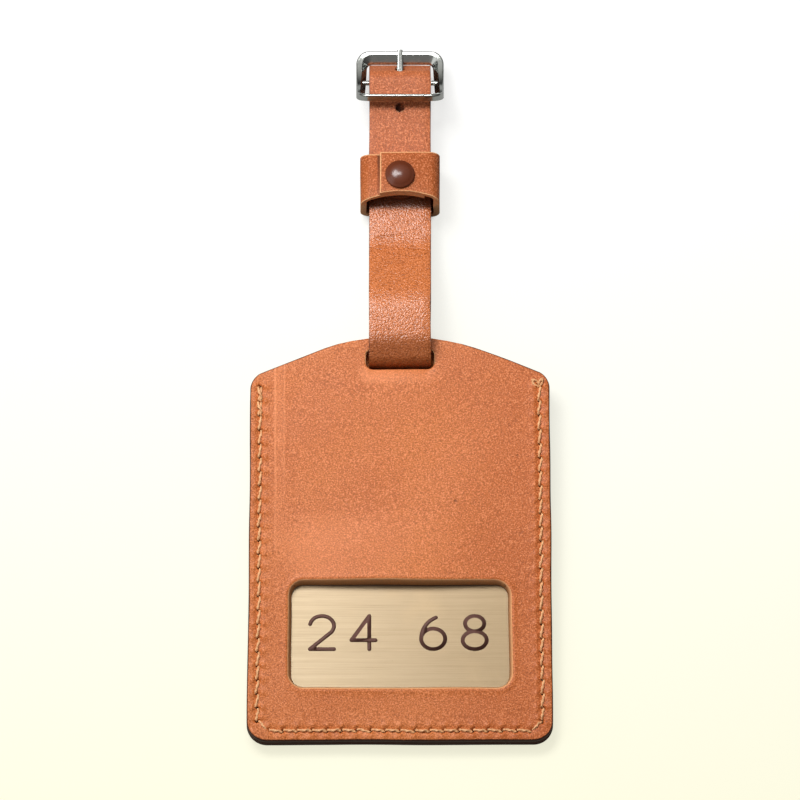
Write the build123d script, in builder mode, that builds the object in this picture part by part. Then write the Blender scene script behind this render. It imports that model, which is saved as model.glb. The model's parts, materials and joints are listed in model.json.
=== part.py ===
"""Leather luggage tag: a stitched pouch with a brass name plate, on a buckled strap.

The tag lies on its back. X is across it, +Y runs from the pouch to the buckle and +Z is up,
with the origin under the middle of the whole tag. Lengths are millimetres.
"""

import os
from math import acos, asin, atan2, cos, degrees, hypot, radians, sin, tan

from build123d import *

# Pouch: two panels of leather with a U-shaped welt between them
pouch_width = 73.6
shoulder_height = 91.6
roof_angle = 22.7
peak_radius = 48.0
shoulder_radius = 4.2
bottom_radius = 4.8
panel_thickness = 1.5
welt_thickness = 1.2
welt_width = 5.5
edge_round = 0.45

# Slot for the strap, and the window over the name plate
slot_width = 16.8
slot_height = 4.4
slot_radius = 1.5
slot_below_peak = 3.9
window_width = 53.8
window_height = 27.0
window_bottom = 13.3
window_radius = 3.8

# Name plate
plate_thickness = 0.8
plate_height = 43.0
plate_side_play = 0.4
plate_lift = 0.1
plate_radius = 2.0

# Stitching round the pouch, in a groove at the back
stitch_inset = 2.5
stitch_pitch = 3.5
stitch_length = 3.0
stitch_width = 0.75
stitch_height = 0.4
stitch_slant = 14.0
stitch_top = 89.5
stitch_corner_cut = 2.6
thread_radius = 0.3
thread_play = 0.05
groove_width = 1.3

# Strap
strap_width = 15.0
strap_thickness = 1.6
layer_gap = 0.1
slot_play = 0.5
bend_clearance = 2.2
exit_rise = 0.9
exit_run = 4.4
exit_angle = 29.0
crest_run = 15.4
crest_height = 12.4
flat_margin = 1.1
back_ramp = 7.0
back_ramp_margin = 0.9
slot_bend_radius = 2.4
hump_radius = 8.0
crest_radius = 14.0
flat_radius = 12.0
ramp_radius = 8.0
rise_radius = 16.0
rise_start = 3.5
far_bend_radius = 2.0
tip_radius = 7.5
tip_in_keeper = 1.8
adjusting_hole_radius = 1.1
adjusting_hole_pitch = 11.1

# Keeper band with its rivet
keeper_length = 12.2
keeper_thickness = 1.5
keeper_from_slot = 47.9
keeper_side_play = 0.65
keeper_play = 0.2
keeper_corner_radius = 1.9
keeper_lap_gap = 0.2
keeper_travel_down = 10.5
keeper_travel_up = 5.0
loop_gap = 1.7
overlap_edge = -4.9
overlap_end = 6.0
rivet_cap_radius = 3.6
rivet_cap_height = 1.7
rivet_cap_wall = 0.45
rivet_post_radius = 1.3
rivet_head_radius = 2.6
rivet_head_height = 0.5
rivet_play = 0.05
rivet_rim_height = 0.45
rivet_post_gap = 0.25

# Buckle: a dished frame, its centre bar and the prong
frame_side_play = 1.15
frame_side_width = 2.0
frame_taper = 0.65
frame_length = 16.4
frame_thickness = 1.8
frame_bar_width = 2.0
frame_sag = 1.9
frame_angle = 27.0
frame_corner_radius = 3.0
frame_from_slot = 74.9
frame_height = 8.6
frame_opening_radius = 1.2
frame_bevel = 1.15
frame_edge_round = 0.4
frame_play = 0.2
bar_radius = 0.6
running_clearance = 0.05
fold_thickness = 0.9
fold_length = 11.0
fold_taper = 4.5
fold_row = 7.5
fold_stitches_count = 4
fold_stitch_pitch = 3.2
fold_stitch_length = 2.6
prong_eye_wall = 0.6
prong_eye_width = 2.2
prong_root_width = 1.8
prong_tip_width = 1.25
prong_root_height = 1.2
prong_tip_height = 0.95
prong_overhang = 1.4
prong_slot_play = 0.3
prong_hole_length = 4.2
prong_hole_width = 2.3
prong_hole_shift = 1.4
prong_edge_round = 0.35
bar_recess = 0.2

# The pouch's outline and its lean: its slot is held up by the bend of the strap
pouch_thickness = 2 * panel_thickness + welt_thickness
apex_height = shoulder_height + pouch_width / 2 * tan(radians(roof_angle))
peak_height = apex_height - peak_radius * (1 / cos(radians(roof_angle)) - 1)
slot_top = peak_height - slot_below_peak
slot_bottom = slot_top - slot_height
strap_in_slot = slot_bottom + slot_play + strap_thickness / 2
lean = asin((strap_thickness + bend_clearance) / strap_in_slot)

# Places along the tag, first measured from the pouch's bottom edge, then from the middle
slot_station = slot_bottom * cos(lean)
frame_station = slot_station + frame_from_slot
frame_half = frame_length / 2 - frame_bar_width / 2
frame_opening_near = strap_width + 2 * frame_side_play
frame_opening_far = frame_opening_near - 2 * frame_taper
frame_width = frame_opening_near + 2 * frame_side_width
tilt = radians(frame_angle)
overall_length = frame_station + frame_half * cos(tilt) + frame_bar_width / 2
pouch_y = -overall_length / 2
slot_y = pouch_y + slot_station
frame_y = pouch_y + frame_station
keeper_y = slot_y + keeper_from_slot
keeper_down_end = keeper_y - keeper_length / 2 - keeper_travel_down
keeper_up_end = keeper_y + keeper_length / 2 + keeper_travel_up

pouch_plane = Plane(origin=(0, pouch_y, 0), x_dir=(1, 0, 0), z_dir=(0, -sin(lean), cos(lean)))


def on_pouch(along, height):
    """Y and Z of a point of the pouch, given along it and above its back face."""
    point = pouch_plane.from_local_coords(Vector(0, along, height))
    return point.Y, point.Z


def pouch_outline():
    """The pentagon with a rounded peak, shoulders and bottom corners."""
    half = pouch_width / 2
    with BuildSketch() as outline:
        with BuildLine():
            corners = [(-half, 0), (half, 0), (half, shoulder_height), (0, apex_height)]
            radii = [bottom_radius, bottom_radius, shoulder_radius, peak_radius, shoulder_radius]
            FilletPolyline(*corners, (-half, shoulder_height), radius=radii, close=True)
        make_face()
    return outline.sketch


def stitch_path():
    """The line of the seam: down one side, across the corners and up the other side."""
    side = pouch_width / 2 - stitch_inset
    inner = side - stitch_corner_cut
    low = stitch_inset
    turn = stitch_inset + stitch_corner_cut
    with BuildLine() as path:
        left = [(-side, stitch_top), (-side, turn), (-inner, low)]
        Polyline(*left, (inner, low), (side, turn), (side, stitch_top))
    return path.wire()


def stitch_places():
    """A place for each stitch along the seam, at even steps near the stated pitch."""
    path = stitch_path()
    count = round(path.length / stitch_pitch)
    places = []
    for index in range(count):
        spot = path @ ((index + 0.5) / count)
        heading = path % ((index + 0.5) / count)
        angle = degrees(atan2(heading.Y, heading.X))
        places.append(Location((spot.X, spot.Y, 0), (0, 0, angle)))
    return places


def make_stitch(length, width, height, thickness, slant):
    """One stitch: a bar of thread on each face of the leather, joined through its hole."""
    hole_x = length / 2 - width / 2
    with BuildPart() as piece:
        with BuildSketch(Plane.XY.offset(thickness)):
            with Locations(Rotation(0, 0, slant)):
                SlotOverall(length, width)
        extrude(amount=height)
        with BuildSketch(Plane.XY):
            with Locations(Rotation(0, 0, slant)):
                SlotOverall(length, width)
        extrude(amount=height)
        with BuildSketch(Plane.XY):
            with Locations(Rotation(0, 0, slant)):
                with Locations((hole_x, 0)):
                    Circle(thread_radius)
        extrude(amount=thickness + height)
    return piece.part


stitch_spots = stitch_places()
stitch_hole_x = stitch_length / 2 - stitch_width / 2
stitch_holes = [spot * Rotation(0, 0, stitch_slant) * Pos(stitch_hole_x, 0) for spot in stitch_spots]

# Back panel
with BuildPart() as back_panel:
    with BuildSketch(pouch_plane):
        add(pouch_outline())
        with Locations((0, (slot_top + slot_bottom) / 2)):
            RectangleRounded(slot_width, slot_height, slot_radius, mode=Mode.SUBTRACT)
    extrude(amount=panel_thickness)
    back_face = back_panel.faces().sort_by(Axis((0, 0, 0), pouch_plane.z_dir))[0]
    fillet(back_face.outer_wire().edges(), edge_round)
    with BuildSketch(pouch_plane):
        with BuildLine():
            add(stitch_path())
        trace(line_width=groove_width)
    extrude(amount=stitch_height + thread_play, mode=Mode.SUBTRACT)
    with BuildSketch(pouch_plane):
        with Locations(*stitch_holes):
            Circle(thread_radius + thread_play)
    extrude(amount=panel_thickness, mode=Mode.SUBTRACT)
back_panel.part.label = "back_panel"

# Welt between the panels: down both sides and along the bottom, open at the top
with BuildPart() as edge_welt:
    with BuildSketch(pouch_plane.offset(panel_thickness)):
        add(pouch_outline())
        with Locations((0, welt_width)):
            pocket_width = pouch_width - 2 * welt_width
            Rectangle(pocket_width, apex_height, align=(Align.CENTER, Align.MIN), mode=Mode.SUBTRACT)
        with Locations(*stitch_holes):
            Circle(thread_radius + thread_play, mode=Mode.SUBTRACT)
    extrude(amount=welt_thickness)
edge_welt.part.label = "edge_welt"

# Front panel
with BuildPart() as front_panel:
    with BuildSketch(pouch_plane.offset(panel_thickness + welt_thickness)):
        add(pouch_outline())
        with Locations((0, (slot_top + slot_bottom) / 2)):
            RectangleRounded(slot_width, slot_height, slot_radius, mode=Mode.SUBTRACT)
        with Locations((0, window_bottom + window_height / 2)):
            RectangleRounded(window_width, window_height, window_radius, mode=Mode.SUBTRACT)
    extrude(amount=panel_thickness)
    front_face = front_panel.faces().sort_by(Axis((0, 0, 0), pouch_plane.z_dir))[-1]
    fillet(front_face.outer_wire().edges(), edge_round)
    with BuildSketch(pouch_plane.offset(panel_thickness + welt_thickness)):
        with Locations(*stitch_holes):
            Circle(thread_radius + thread_play)
    extrude(amount=panel_thickness, mode=Mode.SUBTRACT)
front_panel.part.label = "front_panel"

# Thread of the seam, one solid for each stitch
seam_stitch = make_stitch(
    stitch_length, stitch_width, stitch_height, pouch_thickness - thread_play, stitch_slant
)
with BuildPart() as panel_stitches:
    with Locations(*[pouch_plane.location * Pos(0, 0, thread_play) * spot for spot in stitch_spots]):
        add(seam_stitch)
panel_stitches.part.label = "panel_stitches"

# Name plate, standing on the welt's bottom strip
with BuildPart() as name_plate:
    with BuildSketch(pouch_plane.offset(panel_thickness + plate_lift)):
        with Locations((0, welt_width + plate_lift + plate_height / 2)):
            plate_width = pocket_width - 2 * plate_side_play
            RectangleRounded(plate_width, plate_height, plate_radius)
    extrude(amount=plate_thickness)
name_plate.part.label = "name_plate"

# Heights of the strap's layers: each is the middle of a layer's thickness
half_strap = strap_thickness / 2
back_run_z = half_strap
raised_run_z = keeper_thickness + keeper_play + half_strap
fixed_run_z = raised_run_z + strap_thickness + loop_gap
free_run_z = fixed_run_z + strap_thickness + layer_gap
band_inside_z = free_run_z + half_strap + keeper_play + rivet_head_height

# The buckle's plane: its Y runs down towards the far bar, its Z away from the strap
buckle_plane = Plane(
    origin=(0, frame_y, frame_height), x_dir=(1, 0, 0), z_dir=(0, sin(tilt), cos(tilt))
)
frame_side_plane = Plane(origin=buckle_plane.origin, x_dir=buckle_plane.y_dir, z_dir=(1, 0, 0))
arch_radius = (frame_half**2 + frame_sag**2) / (2 * frame_sag)
bar_centre = frame_side_plane.from_local_coords(Vector(0, -frame_sag, 0))
far_bar = frame_side_plane.from_local_coords(Vector(frame_half, 0, 0))
arch_centre = frame_side_plane.from_local_coords(Vector(0, arch_radius - frame_sag, 0))
far_bar_up = (arch_centre - far_bar).normalized()

# The free run wraps over the fold on the centre bar, and passes under the far bar
fold_inner = bar_radius + running_clearance
fold_outer = fold_inner + fold_thickness
wrap_radius = fold_outer + running_clearance + half_strap
opening_half = frame_half - frame_bar_width / 2
under_edge_up = arch_radius - frame_sag - (
    (arch_radius + frame_thickness / 2) ** 2 - opening_half**2
) ** 0.5
under_edge = frame_side_plane.from_local_coords(Vector(opening_half, under_edge_up, 0))
to_edge = under_edge - bar_centre
far_normal = atan2(to_edge.Z, to_edge.Y) + acos(
    (wrap_radius + half_strap + frame_play) / hypot(to_edge.Y, to_edge.Z)
)
free_corner_y = keeper_up_end + rise_start
to_bar_y = bar_centre.Y - free_corner_y
to_bar_z = bar_centre.Z - free_run_z
near_slope = atan2(to_bar_z, to_bar_y) + asin(wrap_radius / hypot(to_bar_y, to_bar_z))
near_normal = radians(90) + near_slope
bar_corner_reach = wrap_radius / cos((near_normal - far_normal) / 2)
bar_corner_angle = (near_normal + far_normal) / 2
bar_corner = (
    bar_centre.Y + bar_corner_reach * cos(bar_corner_angle),
    bar_centre.Z + bar_corner_reach * sin(bar_corner_angle),
)
far_slope = radians(90) - far_normal
far_corner_y = bar_corner[0] + (bar_corner[1] - back_run_z) / tan(far_slope)

# The fold round the centre bar is drawn along the strap: X runs back from the bar, Y is up
fold_plane = Plane(
    origin=bar_centre,
    x_dir=(0, -cos(near_slope), -sin(near_slope)),
    z_dir=(-1, 0, 0),
)


def on_fold(back, up):
    """Y and Z of a point given along the fold's plane."""
    point = fold_plane.from_local_coords(Vector(back, up, 0))
    return point.Y, point.Z


fixed_run_up = fold_outer - half_strap
fixed_corner_back = (
    bar_centre.Z + fixed_run_up * cos(near_slope) - fixed_run_z
) / sin(near_slope)

# The middle line of the strap, from its tip round to the start of the fold
tip_y = keeper_y - keeper_length / 2 + tip_in_keeper
flat_y = keeper_down_end + flat_margin
back_ramp_y = keeper_down_end - back_ramp_margin
crest_y = slot_y + crest_run
slot_exit = on_pouch(strap_in_slot, pouch_thickness + exit_rise)
hump = (slot_exit[0] + exit_run, slot_exit[1] + exit_run * tan(radians(exit_angle)))
slot_foot_along = (back_run_z - on_pouch(strap_in_slot, 0)[1]) / cos(lean)
slot_foot = on_pouch(strap_in_slot, slot_foot_along)
strap_points = [
    (tip_y, free_run_z),
    (free_corner_y, free_run_z),
    bar_corner,
    (far_corner_y, back_run_z),
    (free_corner_y + back_ramp, back_run_z),
    (free_corner_y, raised_run_z),
    (back_ramp_y, raised_run_z),
    (back_ramp_y - back_ramp, back_run_z),
    slot_foot,
    slot_exit,
    hump,
    (crest_y, crest_height),
    (flat_y, fixed_run_z),
    on_fold(fixed_corner_back, fixed_run_up),
    on_fold(fold_taper, fixed_run_up),
]
strap_radii = [rise_radius, wrap_radius, far_bend_radius]
strap_radii += [ramp_radius] * 4
strap_radii += [slot_bend_radius, slot_bend_radius, hump_radius, crest_radius, flat_radius]
strap_radii += [rise_radius]

# Strap: one strip, drawn from the side, with the skived fold at its buckle end
flap_up = fixed_run_up - half_strap - running_clearance
hole_normal = Vector(0, cos(far_normal), sin(far_normal))
hole_along = Vector(0, cos(far_slope), -sin(far_slope))
used_hole = bar_centre + hole_normal * wrap_radius + hole_along * prong_hole_shift
near_tangent = Vector(0, *on_fold(0, wrap_radius))
wrap_length = wrap_radius * (near_normal - far_normal)
near_hole_back = adjusting_hole_pitch - prong_hole_shift - wrap_length
near_hole_plane = Plane(
    origin=near_tangent + fold_plane.x_dir * near_hole_back, x_dir=(1, 0, 0), z_dir=fold_plane.y_dir
)
far_bend_turn = radians(180) - far_slope
far_line = (far_corner_y - bar_corner[0]) / cos(far_slope) - wrap_radius * tan(
    (near_normal - far_normal) / 2
)
far_line_end = far_line - far_bend_radius * tan(far_bend_turn / 2)
last_hole_back = adjusting_hole_pitch - (far_line_end - prong_hole_shift)
last_hole_back -= far_bend_radius * far_bend_turn
last_hole_y = far_corner_y - far_bend_radius * tan(far_bend_turn / 2) - last_hole_back
prong_slot_width = prong_eye_width + 2 * prong_slot_play
fold_row_plane = Plane(
    origin=(0, *on_fold(fold_row, fold_outer)), x_dir=(1, 0, 0), z_dir=-fold_plane.y_dir
)
fold_stack = strap_thickness + running_clearance + fold_thickness
fold_spots = GridLocations(fold_stitch_pitch, 0, fold_stitches_count, 1).locations
fold_stitch_hole = fold_stitch_length / 2 - stitch_width / 2

with BuildPart() as strap:
    with BuildSketch(Plane.YZ):
        with BuildLine():
            FilletPolyline(*strap_points, radius=strap_radii)
        trace(line_width=strap_thickness)
    extrude(amount=strap_width / 2, both=True)
    with BuildSketch(fold_plane):
        with BuildLine():
            ThreePointArc((0, fold_outer), (-fold_outer, 0), (0, -fold_outer))
            Line((0, -fold_outer), (fold_taper, flap_up - fold_thickness))
            Line((fold_taper, flap_up - fold_thickness), (fold_length, flap_up - fold_thickness))
            Line((fold_length, flap_up - fold_thickness), (fold_length, flap_up))
            Line((fold_length, flap_up), (fold_taper, flap_up))
            Line((fold_taper, flap_up), (0, -fold_inner))
            ThreePointArc((0, -fold_inner), (-fold_inner, 0), (0, fold_inner))
            Line((0, fold_inner), (fold_taper, fixed_run_up - half_strap))
            Line((fold_taper, fixed_run_up - half_strap), (fold_taper, fold_outer))
            Line((fold_taper, fold_outer), (0, fold_outer))
        make_face()
    extrude(amount=strap_width / 2, both=True)
    # Slot in the fold for the prong's eye
    with BuildSketch(fold_plane):
        Circle(fold_outer + running_clearance / 2)
    extrude(amount=prong_slot_width / 2, both=True, mode=Mode.SUBTRACT)
    # Long hole that the prong goes through, and the two round adjusting holes
    with BuildSketch(Plane(origin=used_hole, x_dir=hole_along, z_dir=hole_normal)):
        SlotOverall(prong_hole_length, prong_hole_width)
    extrude(amount=half_strap + running_clearance / 2, both=True, mode=Mode.SUBTRACT)
    with BuildSketch(near_hole_plane):
        Circle(adjusting_hole_radius)
    extrude(amount=half_strap + running_clearance / 2, both=True, mode=Mode.SUBTRACT)
    with BuildSketch(Plane.XY):
        with Locations((0, last_hole_y)):
            Circle(adjusting_hole_radius)
    extrude(amount=strap_thickness, mode=Mode.SUBTRACT)
    # Rounded tip, in the layer that lies on the fixed run
    with BuildSketch(Plane.XY.offset(free_run_z - half_strap)):
        with Locations((0, tip_y + strap_width / 4)):
            Rectangle(strap_width, strap_width / 2)
        with Locations((0, tip_y + tip_radius)):
            Circle(tip_radius, mode=Mode.SUBTRACT)
            Rectangle(strap_width, strap_width, align=(Align.CENTER, Align.MIN), mode=Mode.SUBTRACT)
    extrude(amount=strap_thickness, mode=Mode.SUBTRACT)
    # Groove and holes of the fold's stitches
    with BuildSketch(fold_row_plane):
        SlotOverall(fold_stitch_pitch * fold_stitches_count, groove_width)
    extrude(amount=stitch_height + thread_play, mode=Mode.SUBTRACT)
    with BuildSketch(fold_row_plane):
        with Locations(*[spot * Pos(fold_stitch_hole, 0) for spot in fold_spots]):
            Circle(thread_radius + thread_play)
    extrude(amount=fold_stack, mode=Mode.SUBTRACT)
strap.part.label = "strap"

# Thread that holds the fold
fold_stitch = make_stitch(fold_stitch_length, stitch_width, stitch_height, fold_stack, 0)
with BuildPart() as fold_stitches:
    with Locations(*[fold_row_plane.location * Pos(0, 0, thread_play) * spot for spot in fold_spots]):
        add(fold_stitch)
fold_stitches.part.label = "fold_stitches"

# Keeper: a band wrapped round both runs, its end lapped over in front
band_plane = Plane(origin=(0, keeper_y, 0), x_dir=(1, 0, 0), z_dir=(0, -1, 0))
band_half = keeper_thickness / 2
band_side_x = strap_width / 2 + keeper_side_play + band_half
under_z = band_inside_z + band_half
flap_z = under_z + keeper_thickness + keeper_lap_gap
flap_top = flap_z + band_half
rivet_plane = Plane(origin=(0, keeper_y, flap_top))
with BuildPart() as keeper_band:
    with BuildSketch(band_plane):
        with BuildLine():
            FilletPolyline(
                (overlap_end, under_z),
                (-band_side_x, under_z),
                (-band_side_x, band_half),
                (band_side_x, band_half),
                (band_side_x, flap_z),
                (overlap_edge, flap_z),
                radius=keeper_corner_radius,
            )
        trace(line_width=keeper_thickness)
    extrude(amount=keeper_length / 2, both=True)
    with BuildSketch(rivet_plane):
        Circle(rivet_post_radius + rivet_play)
    extrude(amount=-(flap_top - band_inside_z), mode=Mode.SUBTRACT)
keeper_band.part.label = "keeper_band"

# Rivet: a hollow domed cap in front, and the post with its flat head inside the band
dome_rise = rivet_cap_height - rivet_rim_height
dome_inner_radius = rivet_cap_radius - rivet_cap_wall
dome_inner_rise = rivet_cap_height - rivet_cap_wall
dome_curve = (rivet_cap_radius**2 + dome_rise**2) / (2 * dome_rise)
dome_inner_curve = (dome_inner_radius**2 + dome_inner_rise**2) / (2 * dome_inner_rise)
with BuildPart() as keeper_rivet_cap:
    with BuildSketch(Plane(origin=rivet_plane.origin, x_dir=(1, 0, 0), z_dir=(0, -1, 0))):
        with BuildLine():
            Line((dome_inner_radius, 0), (rivet_cap_radius, 0))
            Line((rivet_cap_radius, 0), (rivet_cap_radius, rivet_rim_height))
            RadiusArc((rivet_cap_radius, rivet_rim_height), (0, rivet_cap_height), -dome_curve)
            Line((0, rivet_cap_height), (0, dome_inner_rise))
            RadiusArc((0, dome_inner_rise), (dome_inner_radius, 0), dome_inner_curve)
        make_face()
    revolve(axis=Axis(rivet_plane.origin, (0, 0, 1)))
keeper_rivet_cap.part.label = "keeper_rivet_cap"

with BuildPart() as keeper_rivet_post:
    with BuildSketch(Plane.XY.offset(band_inside_z - rivet_head_height)):
        with Locations((0, keeper_y)):
            Circle(rivet_head_radius)
    extrude(amount=rivet_head_height)
    with BuildSketch(Plane.XY.offset(band_inside_z)):
        with Locations((0, keeper_y)):
            Circle(rivet_post_radius)
    extrude(amount=flap_top - band_inside_z + dome_inner_rise - rivet_post_gap)
keeper_rivet_post.part.label = "keeper_rivet_post"

# Buckle frame: a dished plate with one wide opening, bevelled inwards and drilled for the bar
with BuildPart() as buckle_frame:
    with BuildSketch(frame_side_plane):
        with Locations((0, arch_radius - frame_sag)):
            Circle(arch_radius + frame_thickness / 2)
            Circle(arch_radius - frame_thickness / 2, mode=Mode.SUBTRACT)
        Rectangle(frame_length, 2 * arch_radius, mode=Mode.INTERSECT)
        with Locations((0, arch_radius / 2)):
            Rectangle(frame_length, arch_radius, align=(Align.CENTER, Align.MIN), mode=Mode.SUBTRACT)
    extrude(amount=frame_width / 2, both=True)
    with BuildSketch(buckle_plane):
        RectangleRounded(frame_width, frame_length, frame_corner_radius)
    extrude(amount=arch_radius, both=True, mode=Mode.INTERSECT)
    with BuildSketch(buckle_plane) as opening:
        with BuildLine():
            Polyline(
                (-frame_opening_near / 2, -opening_half),
                (frame_opening_near / 2, -opening_half),
                (frame_opening_far / 2, opening_half),
                (-frame_opening_far / 2, opening_half),
                close=True,
            )
        make_face()
        fillet(opening.vertices(), frame_opening_radius)
    extrude(amount=arch_radius, both=True, mode=Mode.SUBTRACT)
    frame_top = buckle_frame.faces().filter_by(GeomType.CYLINDER).sort_by(SortBy.AREA)[-2:]
    frame_top = frame_top.sort_by(Axis(buckle_plane.origin, buckle_plane.z_dir))[-1]
    chamfer(frame_top.inner_wires()[0].edges(), frame_bevel)
    fillet(frame_top.outer_wire().edges(), frame_edge_round)
    with BuildSketch(frame_side_plane):
        with Locations((0, -frame_sag)):
            Circle(bar_radius)
    extrude(amount=frame_width / 2, both=True, mode=Mode.SUBTRACT)
buckle_frame.part.label = "buckle_frame"

# Centre bar, pressed into the frame's sides
with BuildPart() as buckle_bar:
    with BuildSketch(frame_side_plane):
        with Locations((0, -frame_sag)):
            Circle(bar_radius)
    extrude(amount=frame_width / 2 - bar_recess, both=True)
    chamfer(buckle_bar.faces().filter_by(Axis.X).edges(), bar_recess)
buckle_bar.part.label = "buckle_bar"

# Prong: an eye round the bar and a tapered finger that lies on the far bar
prong_rest = far_bar + far_bar_up * (
    frame_thickness / 2 + running_clearance + prong_root_height / 2
)
prong_reach = prong_rest - bar_centre
prong_dir = prong_reach.normalized()
prong_length = prong_reach.length + prong_overhang
prong_root = Plane(
    origin=bar_centre + prong_dir * (fold_inner + prong_eye_wall / 2), x_dir=(1, 0, 0), z_dir=prong_dir
)
prong_tip = Plane(origin=bar_centre + prong_dir * prong_length, x_dir=(1, 0, 0), z_dir=prong_dir)
with BuildPart() as buckle_prong:
    with BuildSketch(Plane(origin=bar_centre, x_dir=(0, 1, 0), z_dir=(1, 0, 0))):
        Circle(fold_inner + prong_eye_wall)
    extrude(amount=prong_eye_width / 2, both=True)
    with BuildSketch(prong_root):
        RectangleRounded(prong_root_width, prong_root_height, prong_edge_round)
    with BuildSketch(prong_tip):
        RectangleRounded(prong_tip_width, prong_tip_height, prong_edge_round)
    loft()
    with BuildSketch(Plane(origin=bar_centre, x_dir=(0, 1, 0), z_dir=(1, 0, 0))):
        Circle(fold_inner)
    extrude(amount=prong_eye_width, both=True, mode=Mode.SUBTRACT)
buckle_prong.part.label = "buckle_prong"

pieces = [front_panel, back_panel, edge_welt, panel_stitches, name_plate, strap, fold_stitches]
pieces += [keeper_band, keeper_rivet_cap, keeper_rivet_post, buckle_frame, buckle_bar, buckle_prong]
os.makedirs("parts", exist_ok=True)
for piece in pieces:
    export_step(piece.part, f"parts/{piece.part.label}.step")
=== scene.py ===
"""Looks of the leather luggage tag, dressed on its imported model. Lengths are metres."""

import json
import math

import bmesh
import bpy
from mathutils import Matrix, Vector, kdtree, noise


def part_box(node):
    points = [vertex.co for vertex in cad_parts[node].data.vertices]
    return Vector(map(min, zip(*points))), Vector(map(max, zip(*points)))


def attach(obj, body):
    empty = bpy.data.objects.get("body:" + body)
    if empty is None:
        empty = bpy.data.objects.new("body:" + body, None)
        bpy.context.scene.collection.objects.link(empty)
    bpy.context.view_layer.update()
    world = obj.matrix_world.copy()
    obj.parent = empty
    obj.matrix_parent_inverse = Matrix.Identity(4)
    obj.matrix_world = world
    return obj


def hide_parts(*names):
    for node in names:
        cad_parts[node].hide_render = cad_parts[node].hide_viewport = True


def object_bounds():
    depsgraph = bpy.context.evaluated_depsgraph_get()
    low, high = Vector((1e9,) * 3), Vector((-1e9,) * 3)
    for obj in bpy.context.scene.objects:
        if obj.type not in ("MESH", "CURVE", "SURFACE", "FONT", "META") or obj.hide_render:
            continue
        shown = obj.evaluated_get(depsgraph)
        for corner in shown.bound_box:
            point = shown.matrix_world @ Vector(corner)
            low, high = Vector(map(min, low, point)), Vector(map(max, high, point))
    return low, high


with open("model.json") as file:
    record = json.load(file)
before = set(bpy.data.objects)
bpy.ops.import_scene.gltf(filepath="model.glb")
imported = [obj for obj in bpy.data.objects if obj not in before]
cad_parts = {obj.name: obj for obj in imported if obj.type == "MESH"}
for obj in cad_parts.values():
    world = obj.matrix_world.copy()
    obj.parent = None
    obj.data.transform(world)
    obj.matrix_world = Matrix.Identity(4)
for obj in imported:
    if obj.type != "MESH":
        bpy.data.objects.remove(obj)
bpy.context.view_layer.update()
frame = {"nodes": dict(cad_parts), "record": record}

# ---------------------------------------------------------------------------------------------
# Front panel: one piece of vegetable-tanned cowhide, smooth side out, with the slot and the
# window punched through. Its outer edge is painted dark; the punched edges are left raw.
# Everything on the pouch is drawn on its own plane: X across, Y up from the bottom edge.
# ---------------------------------------------------------------------------------------------
pouch_width = 0.0736
shoulder_height = 0.0916
roof_angle = math.radians(22.7)
peak_radius = 0.048
shoulder_radius = 0.0042
bottom_radius = 0.0048
panel_thickness = 0.0015
welt_thickness = 0.0012
pouch_thickness = 2 * panel_thickness + welt_thickness
edge_round = 0.00045
slot_size = (0.0168, 0.0044)
slot_radius = 0.0015
slot_bottom = 0.09466
window_size = (0.0538, 0.0270)
window_bottom = 0.0133
window_radius = 0.0038
seat_station = 0.045  # how far up the pouch the record's mount lies

seat = next(mount for mount in frame["record"]["mounts"] if mount["name"] == "pouch_back")
pouch_normal = -Vector(seat["axis"])
pouch_up = pouch_normal.cross(Vector((1, 0, 0)))
pouch_origin = Vector(seat["pos_m"]) - pouch_up * seat_station
pouch_place = Matrix.Translation(pouch_origin) @ Matrix(
    ((1, pouch_up.x, pouch_normal.x), (0, pouch_up.y, pouch_normal.y), (0, pouch_up.z, pouch_normal.z))
).to_4x4()

seam_inset = 0.0025
seam_corner_cut = 0.0026
seam_top = 0.0892
seam_pitch = 0.0035
seam_side = pouch_width / 2 - seam_inset
seam_turn = seam_inset + seam_corner_cut
seam_path = [
    Vector((-seam_side, seam_top, 0)),
    Vector((-seam_side, seam_turn, 0)),
    Vector((-seam_side + seam_corner_cut, seam_inset, 0)),
    Vector((seam_side - seam_corner_cut, seam_inset, 0)),
    Vector((seam_side, seam_turn, 0)),
    Vector((seam_side, seam_top, 0)),
]


def along_path(path, distance):
    """The point at a distance along a broken line, and the line's heading there."""
    for start, end in zip(path, path[1:]):
        run = end - start
        if distance <= run.length or end is path[-1]:
            return start + run.normalized() * distance, run.normalized()
        distance -= run.length


def stitch_holes():
    """The places of the seam's holes and the heading of the seam at each."""
    length = sum((end - start).length for start, end in zip(seam_path, seam_path[1:]))
    count = round(length / seam_pitch)
    return [along_path(seam_path, length * index / count) for index in range(count + 1)]


def seam_distance(x, y):
    """How far a point of the pouch is from the line of the seam."""
    side = abs(abs(x) - seam_side) if y > seam_turn else math.hypot(abs(x) - seam_side, y - seam_turn)
    row = abs(y - seam_inset) if abs(x) < seam_side - seam_corner_cut else 1.0
    cut = abs((abs(x) - seam_side) - (seam_turn - y)) / math.sqrt(2)
    inside_cut = y <= seam_turn and abs(x) >= seam_side - seam_corner_cut
    if y > seam_top:
        side = math.hypot(side, y - seam_top)
    return min(side, row, cut if inside_cut else 1.0)


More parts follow.
